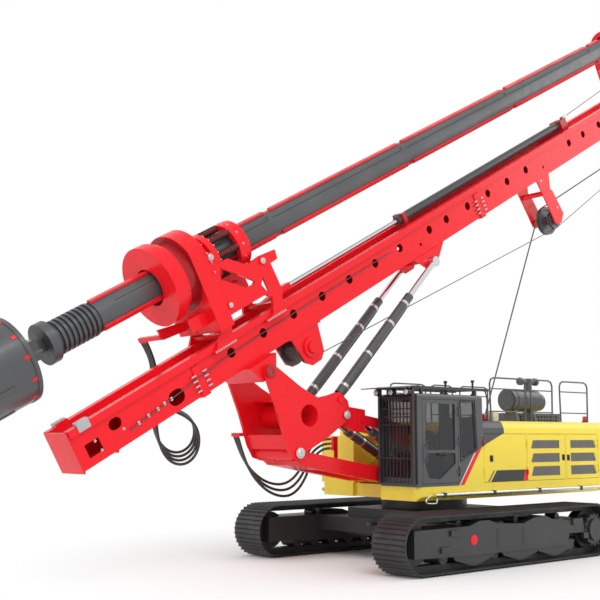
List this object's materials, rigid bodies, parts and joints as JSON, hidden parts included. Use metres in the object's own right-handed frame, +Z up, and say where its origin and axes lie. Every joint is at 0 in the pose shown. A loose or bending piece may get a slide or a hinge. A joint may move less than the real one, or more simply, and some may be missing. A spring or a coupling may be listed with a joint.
{
  "type": "rotary piling rig",
  "caption": "Tracked rotary piling rig: slewing upper structure with cab, luffing boom arm, tilting mast, rotary drive, telescopic kelly bar and drilling bucket.",
  "frame": {"origin": "on the ground under the slewing axis, at the middle of the tracks' length", "axes": "+X forward, the way the tracks and the boom point; +Y to the cab side; +Z up; the mast lies in the XZ plane"},
  "size_m": [23.2483, 4.68, 14.7291],
  "materials": {
    "red_paint": "gloss",
    "yellow_paint": "gloss",
    "dark_paint": "satin",
    "black_paint": "satin",
    "track_steel": "matte",
    "kelly_steel": "satin",
    "rod_steel": "polished",
    "cab_glass": "clear",
    "seat_trim": "matte",
    "hose_rubber": "satin"
  },
  "bodies": {
    "undercarriage": {"left_track": "track_steel", "right_track": "track_steel", "left_track_frame": "black_paint", "right_track_frame": "black_paint", "carbody": "black_paint"},
    "upper": {"platform": "yellow_paint", "cab_shell": "dark_paint", "cab_glass": "cab_glass", "cab_guard": "black_paint", "cab_interior": "seat_trim", "left_housing": "yellow_paint", "right_housing": "yellow_paint", "main_winch_frame": "red_paint", "counterweight": "yellow_paint", "engine_hood": "dark_paint", "engine": "dark_paint", "handrails": "dark_paint", "air_cleaner": "dark_paint"},
    "cab_door": {"cab_door": "dark_paint", "cab_door_glass": "cab_glass"},
    "left_door_front": {"left_door_front": "yellow_paint"},
    "left_door_middle": {"left_door_middle": "yellow_paint"},
    "left_door_rear": {"left_door_rear": "yellow_paint"},
    "right_door_front": {"right_door_front": "yellow_paint"},
    "right_door_rear": {"right_door_rear": "yellow_paint"},
    "main_winch_drum": {"main_winch_drum": "dark_paint"},
    "boom_arm": {"boom_arm": "red_paint"},
    "upper_link": {"upper_link": "red_paint"},
    "triangle": {"triangle_frame": "red_paint", "arm_hoses": "hose_rubber"},
    "luff_barrels": {"luff_barrels": "dark_paint"},
    "luff_rods": {"luff_rods": "rod_steel"},
    "mast_barrels": {"mast_barrels": "dark_paint"},
    "mast_rods": {"mast_rods": "rod_steel"},
    "mast": {"mast_lower": "red_paint", "mast_middle": "red_paint", "mast_upper": "red_paint", "mast_hinge_block": "red_paint", "mast_lugs": "red_paint", "sheave_bracket": "red_paint", "mast_head": "red_paint", "crowd_barrel": "dark_paint", "aux_winch_frame": "red_paint", "mast_hoses": "hose_rubber"},
    "aux_winch_drum": {"aux_winch_drum": "dark_paint"},
    "rear_sheave": {"rear_sheave": "dark_paint"},
    "rear_small_sheave": {"rear_small_sheave": "dark_paint"},
    "head_front_sheave": {"head_front_sheave": "dark_paint"},
    "head_rear_sheave": {"head_rear_sheave": "dark_paint"},
    "head_small_sheave": {"head_small_sheave": "dark_paint"},
    "drive": {"drive_carriage": "red_paint", "drive_gearbox": "red_paint", "crowd_rod": "rod_steel"},
    "drive_sleeve": {"drive_sleeve": "red_paint"},
    "kelly_guide": {"kelly_guide": "red_paint"},
    "kelly_outer": {"kelly_outer": "kelly_steel"},
    "kelly_inner": {"kelly_inner": "kelly_steel", "bucket": "dark_paint"},
    "bucket_gate": {"bucket_gate": "dark_paint"}
  },
  "joints": [
    {"name": "slew", "type": "hinge", "parent": "undercarriage", "child": "upper", "pos_m": [0, 0, 0], "axis": [0, 0, 1], "continuous": true},
    {"name": "cab_door_hinge", "type": "hinge", "parent": "upper", "child": "cab_door", "pos_m": [0.64, 1.515, 0], "axis": [0, 0, 1], "range_deg": [0, 120]},
    {"name": "left_door_front_hinge", "type": "hinge", "parent": "upper", "child": "left_door_front", "pos_m": [-0.068, 1.515, 0], "axis": [0, 0, -1], "range_deg": [0, 95]},
    {"name": "left_door_middle_hinge", "type": "hinge", "parent": "upper", "child": "left_door_middle", "pos_m": [-1.408, 1.515, 0], "axis": [0, 0, -1], "range_deg": [0, 110]},
    {"name": "left_door_rear_hinge", "type": "hinge", "parent": "upper", "child": "left_door_rear", "pos_m": [-3.868, 1.515, 0], "axis": [0, 0, 1], "range_deg": [0, 110]},
    {"name": "right_door_front_hinge", "type": "hinge", "parent": "upper", "child": "right_door_front", "pos_m": [-1.408, -1.515, 0], "axis": [0, 0, 1], "range_deg": [0, 110]},
    {"name": "right_door_rear_hinge", "type": "hinge", "parent": "upper", "child": "right_door_rear", "pos_m": [-3.868, -1.515, 0], "axis": [0, 0, -1], "range_deg": [0, 110]},
    {"name": "main_winch_spin", "type": "hinge", "parent": "upper", "child": "main_winch_drum", "pos_m": [-1.45, 0, 2.3], "axis": [0, 1, 0], "continuous": true},
    {"name": "boom_luff", "type": "hinge", "parent": "upper", "child": "boom_arm", "pos_m": [1.1, 0, 1.64], "axis": [0, -1, 0], "range_deg": [-2, 55]},
    {"name": "triangle_hinge", "type": "hinge", "parent": "boom_arm", "child": "triangle", "pos_m": [3.78034, 0, 2.05973], "axis": [0, -1, 0], "range_deg": [-56, 3]},
    {"name": "upper_link_hinge", "type": "hinge", "parent": "upper", "child": "upper_link", "pos_m": [-0.013, 0, 2.317], "axis": [0, -1, 0], "range_deg": [-3, 56]},
    {"name": "luff_barrel_hinge", "type": "hinge", "parent": "upper", "child": "luff_barrels", "pos_m": [0.4, 0, 1.7], "axis": [0, -1, 0], "range_deg": [-2.83, 51.46]},
    {"name": "luff_rod_slide", "type": "slide", "parent": "luff_barrels", "child": "luff_rods", "axis": [0.8806, 0, 0.4738], "range_m": [-0.0342, 0.6743]},
    {"name": "mast_tilt", "type": "hinge", "parent": "triangle", "child": "mast", "pos_m": [4.43934, 0, 3.45473], "axis": [0, 1, 0], "range_deg": [-29.15, 65]},
    {"name": "mast_barrel_hinge", "type": "hinge", "parent": "triangle", "child": "mast_barrels", "pos_m": [2.80734, 0, 3.01073], "axis": [0, 1, 0], "range_deg": [-31.75, 69.58]},
    {"name": "mast_rod_slide", "type": "slide", "parent": "mast_barrels", "child": "mast_rods", "axis": [-0.6936, 0, 0.7204], "range_m": [-0.7497, 1.6595]},
    {"name": "aux_winch_spin", "type": "hinge", "parent": "mast", "child": "aux_winch_drum", "pos_m": [3.26142, 0, 3.95826], "axis": [0, 1, 0], "continuous": true},
    {"name": "rear_sheave_spin", "type": "hinge", "parent": "mast", "child": "rear_sheave", "pos_m": [-4.36852, 0, 7.40194], "axis": [0, 1, 0], "continuous": true},
    {"name": "rear_small_sheave_spin", "type": "hinge", "parent": "mast", "child": "rear_small_sheave", "pos_m": [-4.36852, 0, 7.40194], "axis": [0, 1, 0], "continuous": true},
    {"name": "head_front_sheave_spin", "type": "hinge", "parent": "mast", "child": "head_front_sheave", "pos_m": [-11.4338, 0, 14.3791], "axis": [0, 1, 0], "continuous": true},
    {"name": "head_rear_sheave_spin", "type": "hinge", "parent": "mast", "child": "head_rear_sheave", "pos_m": [-12.42407, 0, 12.60358], "axis": [0, 1, 0], "continuous": true},
    {"name": "head_small_sheave_spin", "type": "hinge", "parent": "mast", "child": "head_small_sheave", "pos_m": [-11.33904, 0, 13.83045], "axis": [0, 1, 0], "continuous": true},
    {"name": "feed", "type": "slide", "parent": "mast", "child": "drive", "axis": [-0.8733, 0, 0.4871], "range_m": [-1.9, 3.2]},
    {"name": "drive_spin", "type": "hinge", "parent": "drive", "child": "drive_sleeve", "pos_m": [5.85429, 0, 5.13765], "axis": [-0.8733, 0, 0.4871], "continuous": true},
    {"name": "kelly_hoist", "type": "slide", "parent": "mast", "child": "kelly_guide", "axis": [-0.8733, 0, 0.4871], "range_m": [-11, 1.95]},
    {"name": "kelly_spin", "type": "hinge", "parent": "kelly_guide", "child": "kelly_outer", "pos_m": [5.85429, 0, 5.13765], "axis": [-0.8733, 0, 0.4871], "continuous": true},
    {"name": "kelly_extension", "type": "slide", "parent": "kelly_outer", "child": "kelly_inner", "axis": [0.8733, 0, -0.4871], "range_m": [0, 12]},
    {"name": "bucket_gate_hinge", "type": "hinge", "parent": "kelly_inner", "child": "bucket_gate", "pos_m": [10.37866, 0, 3.45698], "axis": [0, -1, 0], "range_deg": [0, 75]}
  ],
  "couplings": [
    {"joint": "triangle_hinge", "follows": "boom_luff", "ratio": -1},
    {"joint": "upper_link_hinge", "follows": "boom_luff", "ratio": 1},
    {"joint": "luff_barrel_hinge", "follows": "boom_luff", "ratio": 0.9175},
    {"joint": "luff_rod_slide", "follows": "boom_luff", "m_per_rad": 0.692},
    {"joint": "mast_barrel_hinge", "follows": "mast_tilt", "ratio": 1.055},
    {"joint": "mast_rod_slide", "follows": "mast_tilt", "m_per_rad": 1.454},
    {"joint": "kelly_spin", "follows": "drive_spin", "ratio": 1}
  ]
}
